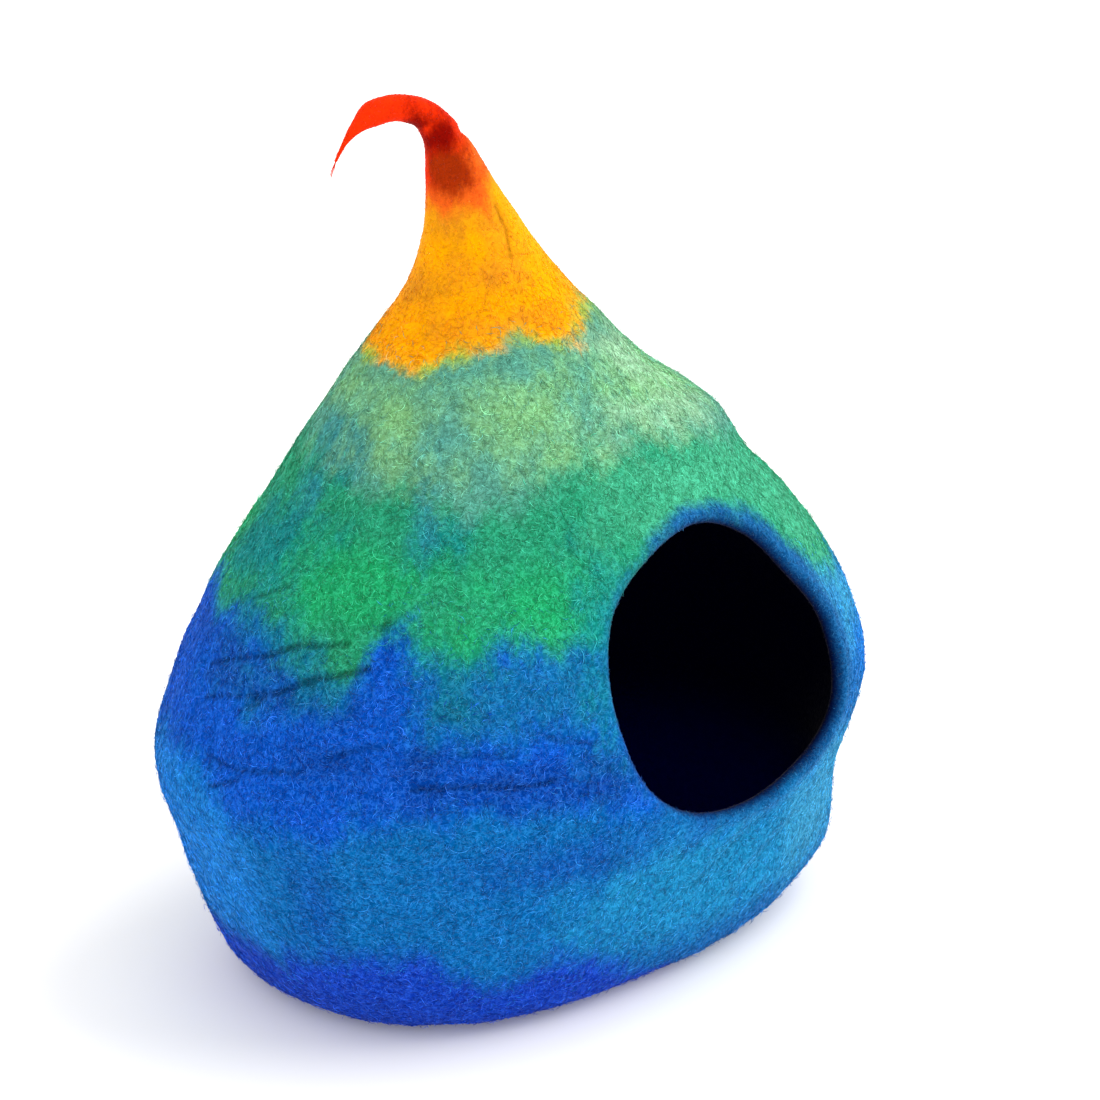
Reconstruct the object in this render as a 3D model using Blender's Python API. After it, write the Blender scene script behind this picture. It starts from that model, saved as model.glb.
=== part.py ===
"""A wet-felted wool cat cave: one seamless hollow drop with a round doorway and a curled tip.

The maker lays wool round a flat drop-shaped former, felts it in one piece, cuts the doorway, takes the former
out and rubs the cut edge round. So the object is a single closed solid of felt: an outer skin, an inner skin
that follows it one wall's thickness inside, and a rolled lip that joins the two at the doorway.

Each skin is a grid of rings, extruded one from the next. A point of the skin has two coordinates: the angle
round the body, and the distance along its profile from the foot to the tip. The angle starts at the body's
right end (+X) and goes round by the back (+Y): 180 is the left end, and 270 the front, with the doorway.

Frame: metres, +Z up, the origin on the floor at the middle of the box, the doorway facing -Y.
"""

import math
from typing import NamedTuple

import bmesh
import bpy
import numpy as np

MM = 0.001

# ---- driving dimensions, in millimetres and degrees --------------------------------------------------------

WALL = 7.0  # the felt's thickness
LIP = 11.0  # the felt is rubbed thicker at the doorway's edge
LIP_PROUD = 2.0  # how far the lip stands out of the wall round it
CAVITY_TOP = 455.0  # above this height the felt is solid up to the tip
CAVITY_DOME = 8.0  # height of the rounded end of the cavity
TIP_ROUNDING = 0.8  # length of the rounded end of the tip
LEAN_HEADING = 160.0  # the way the neck leans and the tip curls


class Station(NamedTuple):
    """One ring of the outer skin: its centre, the tilt of its plane and its half sizes."""

    lean: float  # centre's distance from the upright axis, along LEAN_HEADING
    height: float
    tilt: float  # how far the ring's plane is turned over, towards LEAN_HEADING
    half_width: float
    half_depth: float
    squareness: float  # 2 is an ellipse, more is fuller at the corners


STATIONS = (
    Station(lean=0, height=0, tilt=0, half_width=159, half_depth=109, squareness=2.4),
    Station(lean=-3, height=11, tilt=0, half_width=198, half_depth=137, squareness=2.4),
    Station(lean=-8, height=45, tilt=0, half_width=221, half_depth=153, squareness=2.35),
    Station(lean=-5, height=100, tilt=0, half_width=236, half_depth=167, squareness=2.3),
    Station(lean=-6, height=160, tilt=0, half_width=249, half_depth=178, squareness=2.3),
    Station(lean=-10, height=210, tilt=0, half_width=230, half_depth=170, squareness=2.3),
    Station(lean=-7, height=260, tilt=0, half_width=203, half_depth=155, squareness=2.3),
    Station(lean=-3, height=320, tilt=0, half_width=157, half_depth=124, squareness=2.25),
    Station(lean=6, height=380, tilt=0, half_width=105, half_depth=84, squareness=2.15),
    Station(lean=18, height=440, tilt=3, half_width=50, half_depth=43, squareness=2),
    Station(lean=27, height=480, tilt=8, half_width=28, half_depth=26, squareness=2),
    Station(lean=36.5, height=511, tilt=17, half_width=17.5, half_depth=17, squareness=2),
    Station(lean=46, height=534.5, tilt=38, half_width=10.5, half_depth=12, squareness=2),
    Station(lean=55, height=544, tilt=62, half_width=8.5, half_depth=11, squareness=2),
    Station(lean=66, height=548, tilt=83, half_width=8, half_depth=11, squareness=2),
    Station(lean=77, height=548.5, tilt=98, half_width=8, half_depth=10, squareness=2),
    Station(lean=87, height=545.5, tilt=117, half_width=8, half_depth=9, squareness=2),
    Station(lean=95.5, height=539.5, tilt=130, half_width=4.8, half_depth=6, squareness=2),
    Station(lean=103.5, height=530.5, tilt=137, half_width=1.9, half_depth=2.5, squareness=2),
    Station(lean=110, height=519, tilt=158, half_width=0.8, half_depth=0.9, squareness=2),
)


class Lump(NamedTuple):
    """A broad swelling (or, below zero, a hollow) of the hand-worked felt."""

    around: float
    height: float
    spread_around: float
    spread_height: float
    lift: float


LUMPS = (
    Lump(around=328, height=347, spread_around=34, spread_height=17, lift=5),  # right shoulder
    Lump(around=328, height=388, spread_around=34, spread_height=22, lift=-5),  # hollow over it
    Lump(around=328, height=315, spread_around=30, spread_height=16, lift=-3),  # and under it
    Lump(around=332, height=112, spread_around=24, spread_height=34, lift=-5),  # right flank
    Lump(around=325, height=38, spread_around=26, spread_height=15, lift=4),  # right heel
    Lump(around=148, height=408, spread_around=30, spread_height=22, lift=3),  # left slope
    Lump(around=148, height=298, spread_around=32, spread_height=34, lift=-4),
    Lump(around=150, height=212, spread_around=28, spread_height=16, lift=3),  # left ridge
    Lump(around=205, height=16, spread_around=26, spread_height=16, lift=-3),  # left heel
    Lump(around=228, height=150, spread_around=22, spread_height=45, lift=-3),  # left of the doorway
    Lump(around=210, height=265, spread_around=26, spread_height=40, lift=3),
    Lump(around=60, height=210, spread_around=34, spread_height=55, lift=5),  # the back
    Lump(around=105, height=120, spread_around=30, spread_height=45, lift=-5),
    Lump(around=120, height=300, spread_around=30, spread_height=50, lift=4),
    Lump(around=20, height=70, spread_around=28, spread_height=35, lift=3),
)


class Fold(NamedTuple):
    """A soft trough (or, with a depth below zero, a ridge) along a route of angles and heights."""

    depth: float
    half_breadth: float
    route: tuple


FOLDS = (
    # The wrinkles that climb from the left end towards the front.
    Fold(depth=2.6, half_breadth=9, route=((169, 225), (183, 244), (191, 256), (205, 262))),
    Fold(depth=2.6, half_breadth=9, route=((172, 208), (188, 227), (197, 241), (210, 251))),
    Fold(depth=2.0, half_breadth=9, route=((179, 182), (186, 183), (200, 192), (213, 210))),
    # The level ones between the left end and the doorway.
    Fold(depth=2.8, half_breadth=9, route=((219, 190), (231, 188), (243, 184), (248, 186))),
    Fold(depth=1.8, half_breadth=9, route=((220, 204), (229, 206), (239, 203), (250, 207))),
    Fold(depth=-1.8, half_breadth=10, route=((233, 173), (244, 165))),
    # A short upright one, and the slanting ones under the doorway.
    Fold(depth=2.0, half_breadth=9, route=((220, 290), (212, 274), (214, 244))),
    Fold(depth=1.8, half_breadth=9, route=((272, 69), (277, 94), (282, 110))),
    Fold(depth=1.8, half_breadth=9, route=((281, 65), (288, 81), (294, 90))),
    # The kink where the tail was bent over.
    Fold(depth=2.0, half_breadth=4, route=((300, 528), (340, 527), (380, 528))),
)
FOLD_SAMPLES = 25  # points along a route from which distances are measured

# The clear doorway, seen from the front: how far its edge is from its middle, in twelve equal directions that
# start to the right and run anticlockwise. It is a hand-cut round, fullest towards the lower right.
DOOR_MIDDLE = (41.0, 216.0)  # across, and above the floor
DOOR_REACH = (101, 82, 83, 88, 91, 100, 98, 95, 91, 91, 99, 114)

# ---- the grid -----------------------------------------------------------------------------------------------

COARSE_COLUMNS = 36  # round the inner skin; the outer skin has twice as many
COARSE_SPACING = 31.0  # from ring to ring of the inner skin's wall; the outer skin's is half
COARSE_TAIL_SPACING = 14.0  # the same on the narrow tail
OUTER_DETAIL, INNER_DETAIL = 2, 1
TAIL_START = 470.0  # height from which the rings stand closer
# The block of the grid that makes room for the doorway and its collar: angles and heights.
COLLAR_AROUND = (240.0, 320.0)
COLLAR_HEIGHT = (98.0, 332.0)
COLLAR_RINGS = 3
BASE_RINGS = 3
LIP_STEPS = 5  # facets across the rolled lip


# ---- the skin as a function of its two coordinates ----------------------------------------------------------

STATION_TABLE = np.array(STATIONS, float)
# Knots: the distance along the profile from the foot to each station.
KNOTS = np.concatenate(
    [[0.0], np.cumsum(np.linalg.norm(np.diff(STATION_TABLE[:, [0, 1, 3]], axis=0), axis=1))]
)
PROFILE_LENGTH = KNOTS[-1]


def station_at(along):
    """The six station values at a distance along the profile. Between two stations they follow a cubic whose
    slope at each station is a mean of the slopes on its two sides."""
    slopes = np.gradient(STATION_TABLE, KNOTS, axis=0)
    first = np.clip(np.searchsorted(KNOTS, along, side="right") - 1, 0, len(KNOTS) - 2)
    span = (KNOTS[first + 1] - KNOTS[first])[..., None]
    t = (along - KNOTS[first])[..., None] / span
    start, end = STATION_TABLE[first], STATION_TABLE[first + 1]
    return (
        (2 * t**3 - 3 * t**2 + 1) * start
        + (t**3 - 2 * t**2 + t) * span * slopes[first]
        + (3 * t**2 - 2 * t**3) * end
        + (t**3 - t**2) * span * slopes[first + 1]
    )


# The heights of the profile from the foot to its highest station, to look up a distance by its height.
LOOK_UP_STEP = 0.5
UPRIGHT = np.arange(0, KNOTS[STATION_TABLE[:, 1].argmax()], LOOK_UP_STEP)
UPRIGHT_HEIGHTS = station_at(UPRIGHT)[:, 1]


def along_at(height):
    return np.interp(height, UPRIGHT_HEIGHTS, UPRIGHT)


def ring_centre(along):
    lean, height = station_at(along)[:2]
    heading = math.radians(LEAN_HEADING)
    return np.array([lean * math.cos(heading), lean * math.sin(heading), height])


def signed_power(value, exponent):
    return np.sign(value) * np.abs(value) ** exponent


def smooth_skin(around, along):
    """The skin before it is worked: a superellipse, turned over by the station's tilt and carried to the
    station's centre. Angles are in radians."""
    lean, height, tilt, half_width, half_depth, squareness = np.moveaxis(station_at(along), -1, 0)
    across = half_width * signed_power(np.cos(around), 2 / squareness)
    deep = half_depth * signed_power(np.sin(around), 2 / squareness)
    heading, turn = math.radians(LEAN_HEADING), np.radians(tilt)
    forward = across * math.cos(heading) + deep * math.sin(heading)
    sideways = deep * math.cos(heading) - across * math.sin(heading)
    out = lean + forward * np.cos(turn)
    x = out * math.cos(heading) - sideways * math.sin(heading)
    y = out * math.sin(heading) + sideways * math.cos(heading)
    return np.stack([x, y, height - forward * np.sin(turn)], axis=-1)


def outward(around, along):
    """Unit normals, from the cross product of short steps in the two coordinates."""
    turn, step = 0.01, 0.5
    before, after = np.maximum(along - step, 0), np.minimum(along + step, PROFILE_LENGTH)
    across = smooth_skin(around + turn, along) - smooth_skin(around - turn, along)
    up = smooth_skin(around, after) - smooth_skin(around, before)
    normal = np.cross(across, up)
    return normal / np.linalg.norm(normal, axis=-1, keepdims=True)


def lumps_at(around, height):
    """The sum of the lumps, each a bell in the angle round the body and in the height."""
    total = np.zeros(np.shape(around))
    for lump in LUMPS:
        turn = (np.degrees(around) - lump.around + 180) % 360 - 180
        rise = height - lump.height
        total += lump.lift * np.exp(-((turn / lump.spread_around) ** 2) - (rise / lump.spread_height) ** 2)
    return total


def folds_at(points):
    """The sum of the folds, each a bell in a point's distance from the fold's route over the skin."""
    total = np.zeros(points.shape[:-1])
    for fold in FOLDS:
        angles, heights = np.transpose(fold.route)
        legs = np.linspace(0, len(fold.route) - 1, FOLD_SAMPLES)
        around = np.interp(legs, range(len(fold.route)), np.radians(angles))
        along = along_at(np.interp(legs, range(len(fold.route)), heights))
        apart = np.linalg.norm(points[..., None, :] - smooth_skin(around, along), axis=-1).min(axis=-1)
        total -= fold.depth * np.exp(-((apart / fold.half_breadth) ** 2))
    return total


def skin(around, along, inset=0.0):
    """The hand-worked skin, or a skin that lies inset from it. The folds are in the outer face alone."""
    smooth = smooth_skin(around, along)
    settled = np.clip(smooth[..., 2] / STATIONS[1].height, 0, 1)  # the base stays flat
    relief = lumps_at(around, smooth[..., 2]) + (folds_at(smooth) if inset <= 0 else 0)
    return smooth + outward(around, along) * (relief * settled - inset)[..., None]


# ---- the doorway in the skin's coordinates ------------------------------------------------------------------


def door_reach(direction):
    """The doorway's reach in a direction: a cubic through the twelve reaches, round the circle."""
    reach = np.array(DOOR_REACH, float)
    place = direction / (2 * math.pi) % 1.0 * len(reach)
    first = np.floor(place).astype(int)
    t = place - first
    before, start, end, after = (reach[(first + k) % len(reach)] for k in (-1, 0, 1, 2))
    return (
        start
        + t * (end - before) / 2
        + t**2 * (2 * before - 5 * start + 4 * end - after) / 2
        + t**3 * (3 * start - 3 * end + after - before) / 2
    )


def front_place(x, height):
    """The coordinates of the front wall's point that is seen at (x, height) from straight ahead."""
    along = along_at(height)
    lean, _, _, half_width, _, squareness = np.moveaxis(station_at(along), -1, 0)
    share = (x - lean * math.cos(math.radians(LEAN_HEADING))) / half_width
    return 2 * math.pi - np.arccos(signed_power(share, squareness / 2)), along


def door_edge(around, along):
    """The coordinates of the skin's edge at the doorway, in the directions of the given places from its
    middle. The edge lies half the lip's thickness outside the clear opening."""
    seen = smooth_skin(around, along)
    direction = np.arctan2(seen[:, 2] - DOOR_MIDDLE[1], seen[:, 0] - DOOR_MIDDLE[0])
    reach = door_reach(direction) + LIP / 2
    return front_place(
        DOOR_MIDDLE[0] + reach * np.cos(direction), DOOR_MIDDLE[1] + reach * np.sin(direction)
    )


# ---- rows of vertices ---------------------------------------------------------------------------------------


def next_round(row):
    return row[1:] + row[:1]


def new_row(bm, points):
    """A closed row of vertices and edges."""
    row = [bm.verts.new(point) for point in points]
    for pair in zip(row, next_round(row)):
        bm.edges.new(pair)
    return row


def extrude_row(bm, row, points):
    """Extrudes a closed row of vertices, puts the new ones on the points and returns them in order."""
    edges = [bm.edges.get(pair) for pair in zip(row, next_round(row))]
    made = set(bmesh.ops.extrude_edge_only(bm, edges=edges)["geom"])
    raised = []
    for vertex, point in zip(row, points):
        copy = next(e.other_vert(vertex) for e in vertex.link_edges if e.other_vert(vertex) in made)
        copy.co = point
        raised.append(copy)
    return raised


def close_row(bm, row, point):
    """Closes a row with a fan of triangles to one point."""
    face = bm.faces.new(row)
    pole = bmesh.ops.poke(bm, faces=[face])["verts"][0]
    pole.co = point


def zip_rows(bm, fine, coarse):
    """Joins a row to one that has half as many vertices, with three triangles for each coarse edge."""
    starts, middles = fine[::2], fine[1::2]
    for a, b, start, middle, end in zip(coarse, next_round(coarse), starts, middles, next_round(starts)):
        for corners in ((a, start, middle), (a, middle, b), (b, middle, end)):
            bm.faces.new(corners)


def positions(row):
    return np.array([vertex.co for vertex in row])


# ---- the felt ------------------------------------------------------------------------------------------------


def ring_places(top, detail):
    """Distances along the profile: even on the wall, closer on the tail, with rings at the block's edges."""
    low, high = along_at(np.array(COLLAR_HEIGHT))
    tail = along_at(TAIL_START)
    spans = (
        (0.0, low, COARSE_SPACING),
        (low, high, COARSE_SPACING),
        (high, min(top, tail), COARSE_SPACING),
        (tail, top, COARSE_TAIL_SPACING),
    )
    places = [np.array([0.0])]
    for start, end, spacing in spans:
        if end > start:
            places.append(np.linspace(start, end, detail * round((end - start) / spacing) + 1)[1:])
    return np.concatenate(places)


def block_border(rows, columns):
    """The grid places round a block, from its lower left corner, anticlockwise as seen from outside."""
    (low, high), (left, right) = rows, columns
    return np.array(
        [(low, column) for column in range(left, right)]
        + [(row, right) for row in range(low, high)]
        + [(high, column) for column in range(right, left, -1)]
        + [(row, left) for row in range(high, low, -1)]
    )


def delete_block(bm, rings, rows, columns):
    """Takes the grid's faces out between two rings and two columns."""
    faces = []
    for row in range(*rows):
        for column in range(*columns):
            corners = {rings[row][column], rings[row + 1][column + 1]}
            faces.extend(face for face in rings[row][column].link_faces if corners <= set(face.verts))
    bmesh.ops.delete(bm, geom=faces, context="FACES")


def inset_near_lip(inset, share):
    """The felt grows from the wall's thickness to the lip's over the collar, on both faces."""
    if inset > 0:
        return inset + (LIP - LIP_PROUD - WALL) * share**3
    return -LIP_PROUD * share**3


def felt_skin(bm, detail, inset, top, collar_shares):
    """One skin with its base: a grid of rings, with a block taken out of it and a collar of rings that pass
    from the block's border towards the doorway's edge. Returns the top ring, the collar's last ring, and the
    coordinates of the doorway's edge."""
    turns = np.linspace(0, 2 * math.pi, detail * COARSE_COLUMNS, endpoint=False)
    places = ring_places(top, detail)
    around, along = np.meshgrid(turns, places)
    points = skin(around, along, inset)
    rings = [new_row(bm, points[0])]
    for ring_points in points[1:]:
        rings.append(extrude_row(bm, rings[-1], ring_points))

    rows = [int(np.abs(places - place).argmin()) for place in along_at(np.array(COLLAR_HEIGHT))]
    columns = [detail * round(angle / 360 * COARSE_COLUMNS) for angle in COLLAR_AROUND]
    delete_block(bm, rings, rows, columns)

    border = block_border(rows, columns)
    border_around, border_along = turns[border[:, 1]], places[border[:, 0]]
    edge_around, edge_along = door_edge(border_around, border_along)
    collar = [rings[row][column] for row, column in border]
    for share in collar_shares:
        collar_around = border_around + (edge_around - border_around) * share
        collar_along = border_along + (edge_along - border_along) * share
        collar = extrude_row(bm, collar, skin(collar_around, collar_along, inset_near_lip(inset, share)))

    foot = points[0]
    middle = foot.mean(axis=0)
    base = rings[0]
    for step in range(1, BASE_RINGS):
        base = extrude_row(bm, base, middle + (foot - middle) * (1 - step / BASE_RINGS))
    close_row(bm, base, middle)
    return rings[-1], collar, (edge_around, edge_along)


def felt_cave(bm):
    """The whole cave, in millimetres."""
    shares = [ring / COLLAR_RINGS for ring in range(1, COLLAR_RINGS + 1)]
    tip, outer_edge, edge_place = felt_skin(bm, OUTER_DETAIL, 0.0, PROFILE_LENGTH, shares)
    close_row(bm, tip, 2 * ring_centre(PROFILE_LENGTH) - ring_centre(PROFILE_LENGTH - TIP_ROUNDING))

    cavity_top = along_at(CAVITY_TOP)
    dome, inner_collar, _ = felt_skin(bm, INNER_DETAIL, WALL, cavity_top, shares[:-1])
    close_row(bm, dome, ring_centre(cavity_top) + (0, 0, CAVITY_DOME))

    # The lip: a half circle from the outer skin's edge to the inner one's, bulging into the doorway.
    outer, inner = positions(outer_edge), skin(*edge_place, inset_near_lip(WALL, 1.0))
    middle, arm = (outer + inner) / 2, (outer - inner) / 2
    into_door = np.cross(arm, np.roll(middle, -1, axis=0) - np.roll(middle, 1, axis=0))
    into_door *= np.linalg.norm(arm, axis=1, keepdims=True) / np.linalg.norm(into_door, axis=1, keepdims=True)
    row = outer_edge
    for step in range(1, LIP_STEPS + 1):
        turn = math.pi * step / LIP_STEPS
        row = extrude_row(bm, row, middle + arm * math.cos(turn) + into_door * math.sin(turn))
    zip_rows(bm, row, inner_collar)


def felt_material():
    """Dyed wool: matt, in the blue that covers most of the body."""
    material = bpy.data.materials.new("dyed_wool_felt")
    material.use_nodes = True
    surface = material.node_tree.nodes["Principled BSDF"]
    surface.inputs["Base Color"].default_value = (0.02, 0.17, 0.45, 1)
    surface.inputs["Roughness"].default_value = 0.95
    surface.inputs["Metallic"].default_value = 0.0
    return material


def main():
    for leftover in list(bpy.data.objects):
        bpy.data.objects.remove(leftover)

    bm = bmesh.new()
    felt_cave(bm)
    corners = positions(bm.verts)
    middle = (corners.min(axis=0) + corners.max(axis=0)) / 2
    bmesh.ops.translate(bm, verts=bm.verts, vec=(-middle[0], -middle[1], 0))
    bmesh.ops.scale(bm, verts=bm.verts, vec=(MM, MM, MM))
    bmesh.ops.recalc_face_normals(bm, faces=bm.faces)

    mesh = bpy.data.meshes.new("felt_cave")
    bm.to_mesh(mesh)
    bm.free()
    mesh.materials.append(felt_material())
    mesh.shade_smooth()
    cave = bpy.data.objects.new("felt_cave", mesh)
    bpy.context.scene.collection.objects.link(cave)


main()
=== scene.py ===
# %% [markdown]
# # A felted wool cat cave
#
# A maker lays tufts of dyed wool round a flat, drop-shaped former, wets and rubs them into one seamless
# skin of felt, cuts the doorway, takes the former out and rubs the cut edge round. This notebook builds
# the looks of that cave round a CAD frame that already has its size. Everything is worked out in
# millimetres and degrees, and turned into metres when a mesh is made.

# %% Load the frame
import math
from typing import NamedTuple

import bpy
import numpy as np
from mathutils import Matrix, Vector


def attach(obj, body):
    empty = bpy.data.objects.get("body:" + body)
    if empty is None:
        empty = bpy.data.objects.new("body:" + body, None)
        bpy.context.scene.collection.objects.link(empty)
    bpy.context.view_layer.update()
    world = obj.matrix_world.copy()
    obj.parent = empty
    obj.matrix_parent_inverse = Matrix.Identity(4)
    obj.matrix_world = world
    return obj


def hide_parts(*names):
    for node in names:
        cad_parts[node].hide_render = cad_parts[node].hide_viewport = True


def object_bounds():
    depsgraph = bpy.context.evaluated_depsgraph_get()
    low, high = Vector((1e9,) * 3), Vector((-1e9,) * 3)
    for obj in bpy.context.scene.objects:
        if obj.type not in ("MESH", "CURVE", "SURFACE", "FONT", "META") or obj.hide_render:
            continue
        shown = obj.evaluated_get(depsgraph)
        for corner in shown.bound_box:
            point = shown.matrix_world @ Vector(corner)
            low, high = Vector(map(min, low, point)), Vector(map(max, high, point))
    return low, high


MM = 0.001

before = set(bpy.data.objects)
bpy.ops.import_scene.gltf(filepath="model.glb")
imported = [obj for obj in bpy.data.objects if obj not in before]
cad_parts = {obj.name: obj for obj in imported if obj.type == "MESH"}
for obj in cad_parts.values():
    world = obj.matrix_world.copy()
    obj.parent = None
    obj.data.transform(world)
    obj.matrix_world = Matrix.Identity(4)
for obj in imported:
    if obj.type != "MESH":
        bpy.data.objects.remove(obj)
cad_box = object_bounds()
low, high = cad_box
print("CAD box, mm:", [round((b - a) / MM, 1) for a, b in zip(low, high)])

# %% [markdown]
# ## The camera
#
# The photograph looks down on the cave from its left front corner. A camera is easiest to set as a turn
# round a target: an azimuth, an elevation and a distance. A long lens keeps the drop from bulging at its
# near side.

# %% Set the camera
AZIMUTH = -40.0  # 0 looks along +Y
ELEVATION = 20.0
DISTANCE = 1.8
TARGET = Vector((0.0668, 0.0504, 0.2284))
LENS = 87.1


def from_target(azimuth, elevation, distance):
    """The point at a distance from the target, in the direction that two angles give."""
    a, e = math.radians(azimuth), math.radians(elevation)
    direction = Vector((math.sin(a) * math.cos(e), -math.cos(a) * math.cos(e), math.sin(e)))
    return TARGET + distance * direction


def aim(thing):
    """Turns a camera or a lamp, which look along their own -Z, towards the target."""
    thing.rotation_euler = (TARGET - thing.location).to_track_quat("-Z", "Y").to_euler()


camera = bpy.data.objects.new("camera", bpy.data.cameras.new("camera"))
bpy.context.scene.collection.objects.link(camera)
camera.data.lens = LENS
camera.data.sensor_width = 36.0
camera.location = from_target(AZIMUTH, ELEVATION, DISTANCE)
aim(camera)
bpy.context.scene.camera = camera
print("camera at", [round(x, 3) for x in camera.location])

# %% [markdown]
# ## The drop
#
# The body is a stack of rings. Each ring is a superellipse, a shape between an ellipse and a rounded
# rectangle, with a centre, a tilt and two half sizes. The rings low down are level and wide. Those of the
# tail are narrow and turn over, one after the other, until the tip points down again. Between two rings
# of this short table every value follows a cubic, so the profile has no corners. These are the frame's
# own rings, so that the felt lies where its solid lies.

# %% The rings of the drop
LEAN_HEADING = 160.0  # the way the neck leans and the tip curls
FOOT_PLACE = np.array([-5.43, 2.40, 0.0])  # the foot's middle in the frame


class Station(NamedTuple):
    """One ring: its centre, the tilt of its plane in degrees, and its half sizes."""

    lean: float
    height: float
    tilt: float
    half_width: float
    half_depth: float
    squareness: float


STATIONS = (
    # lean, height, tilt, half width, half depth, squareness
    Station(0, 0, 0, 159, 109, 2.4),
    Station(-3, 11, 0, 198, 137, 2.4),
    Station(-8, 45, 0, 221, 153, 2.35),
    Station(-5, 100, 0, 236, 167, 2.3),
    Station(-6, 160, 0, 249, 178, 2.3),
    Station(-10, 210, 0, 230, 170, 2.3),
    Station(-7, 260, 0, 203, 155, 2.3),
    Station(-3, 320, 0, 157, 124, 2.25),
    Station(6, 380, 0, 105, 84, 2.15),
    Station(18, 440, 3, 50, 43, 2),
    Station(27, 480, 8, 28, 26, 2),
    Station(36.5, 511, 17, 17.5, 17, 2),
    Station(46, 534.5, 38, 10.5, 12, 2),
    Station(55, 544, 62, 8.5, 11, 2),
    Station(66, 548, 83, 8, 11, 2),
    Station(77, 548.5, 98, 8, 10, 2),
    Station(87, 545.5, 117, 8, 9, 2),
    Station(95.5, 539.5, 130, 4.8, 6, 2),
    Station(103.5, 530.5, 137, 1.9, 2.5, 2),
    Station(110, 519, 158, 0.8, 0.9, 2),
)
STATION_TABLE = np.array(STATIONS, float)
LEAN, HEIGHT, _, HALF_WIDTH, HALF_DEPTH, _ = range(len(Station._fields))
LENGTHS = np.linalg.norm(np.diff(STATION_TABLE[:, [LEAN, HEIGHT, HALF_WIDTH]], axis=0), axis=1)
KNOTS = np.concatenate([[0.0], np.cumsum(LENGTHS)])
PROFILE_LENGTH = KNOTS[-1]


def station_at(along):
    """The six values at a distance along the profile: a cubic between two stations, whose slope at each
    of them is a mean of the slopes on its two sides."""
    slopes = np.gradient(STATION_TABLE, KNOTS, axis=0)
    first = np.clip(np.searchsorted(KNOTS, along, side="right") - 1, 0, len(KNOTS) - 2)
    span = (KNOTS[first + 1] - KNOTS[first])[..., None]
    t = (along - KNOTS[first])[..., None] / span
    start, end = STATION_TABLE[first], STATION_TABLE[first + 1]
    return (
        (2 * t**3 - 3 * t**2 + 1) * start
        + (t**3 - 2 * t**2 + t) * span * slopes[first]
        + (3 * t**2 - 2 * t**3) * end
        + (t**3 - t**2) * span * slopes[first + 1]
    )


UPRIGHT = np.arange(0, KNOTS[STATION_TABLE[:, HEIGHT].argmax()], 0.5)
UPRIGHT_HEIGHTS = station_at(UPRIGHT)[:, HEIGHT]


def along_at(height):
    """The distance along the profile at which it reaches a height."""
    return np.interp(height, UPRIGHT_HEIGHTS, UPRIGHT)


print("profile from foot to tip:", round(PROFILE_LENGTH), "mm")

# %% [markdown]
# A point of the skin has two coordinates: the angle around the body and the distance along the profile.
# The angle is 180 at the left end and 270 at the front, where the doorway is. The next function turns
# whole arrays of them into points at once.

# %% The smooth skin


def signed_power(value, exponent):
    return np.sign(value) * np.abs(value) ** exponent


def smooth_skin(around, along):
    """A superellipse, (cos, sin) of the angle each raised to 2 / squareness, times the half sizes; then
    turned over by the tilt and carried to the station's centre. Angles are in radians."""
    lean, height, tilt, half_width, half_depth, squareness = np.moveaxis(station_at(along), -1, 0)
    across = half_width * signed_power(np.cos(around), 2 / squareness)
    deep = half_depth * signed_power(np.sin(around), 2 / squareness)
    heading, turn = math.radians(LEAN_HEADING), np.radians(tilt)
    forward = across * math.cos(heading) + deep * math.sin(heading)
    sideways = deep * math.cos(heading) - across * math.sin(heading)
    out = lean + forward * np.cos(turn)
    x = out * math.cos(heading) - sideways * math.sin(heading)
    y = out * math.sin(heading) + sideways * math.cos(heading)
    return np.stack([x, y, height - forward * np.sin(turn)], axis=-1)


def outward(around, along):
    """Unit normals: the cross product of a short step around and a short step along."""
    turn, step = 0.01, 0.5
    before, after = np.maximum(along - step, 0), np.minimum(along + step, PROFILE_LENGTH)
    across = smooth_skin(around + turn, along) - smooth_skin(around - turn, along)
    up = smooth_skin(around, after) - smooth_skin(around, before)
    normal = np.cross(across, up)
    return normal / np.linalg.norm(normal, axis=-1, keepdims=True)


# %% [markdown]
# ## Hand-worked relief
#
# Felt keeps the marks of the hands that rubbed it. Three things are added to the smooth skin along its
# normals: broad lumps, creases, and a fine unevenness. A lump is a bell in angle and height. A crease is
# a bell in the distance from a route that was read off the photograph. A deep crease is a broad trough
# with a narrow core in it.

# %% Lumps and creases


class Lump(NamedTuple):
    """A bell in angle and height. A lift below zero is a dent."""

    around: float
    height: float
    spread_around: float
    spread_height: float
    lift: float


LUMPS = (
    # around, height, spread around, spread of height, lift
    Lump(328, 347, 34, 17, 5),  # right shoulder
    Lump(328, 388, 34, 22, -5),
    Lump(328, 315, 30, 16, -3),
    Lump(332, 112, 24, 34, -5),  # right flank
    Lump(325, 38, 26, 15, 4),  # right heel
    Lump(148, 408, 30, 22, 3),  # left slope
    Lump(148, 298, 32, 34, -4),
    Lump(150, 212, 28, 16, 3),  # left ridge
    Lump(205, 16, 26, 16, -3),  # left heel
    Lump(228, 150, 22, 45, -3),  # left of the doorway
    Lump(210, 265, 26, 40, 3),
    Lump(60, 210, 34, 55, 5),  # the back
    Lump(105, 120, 30, 45, -5),
    Lump(120, 300, 30, 50, 4),
    Lump(20, 70, 28, 35, 3),
)


class Fold(NamedTuple):
    """A bell in the distance from a route of (around, height). A depth below zero is a ridge."""

    depth: float
    half_breadth: float
    route: tuple


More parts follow.
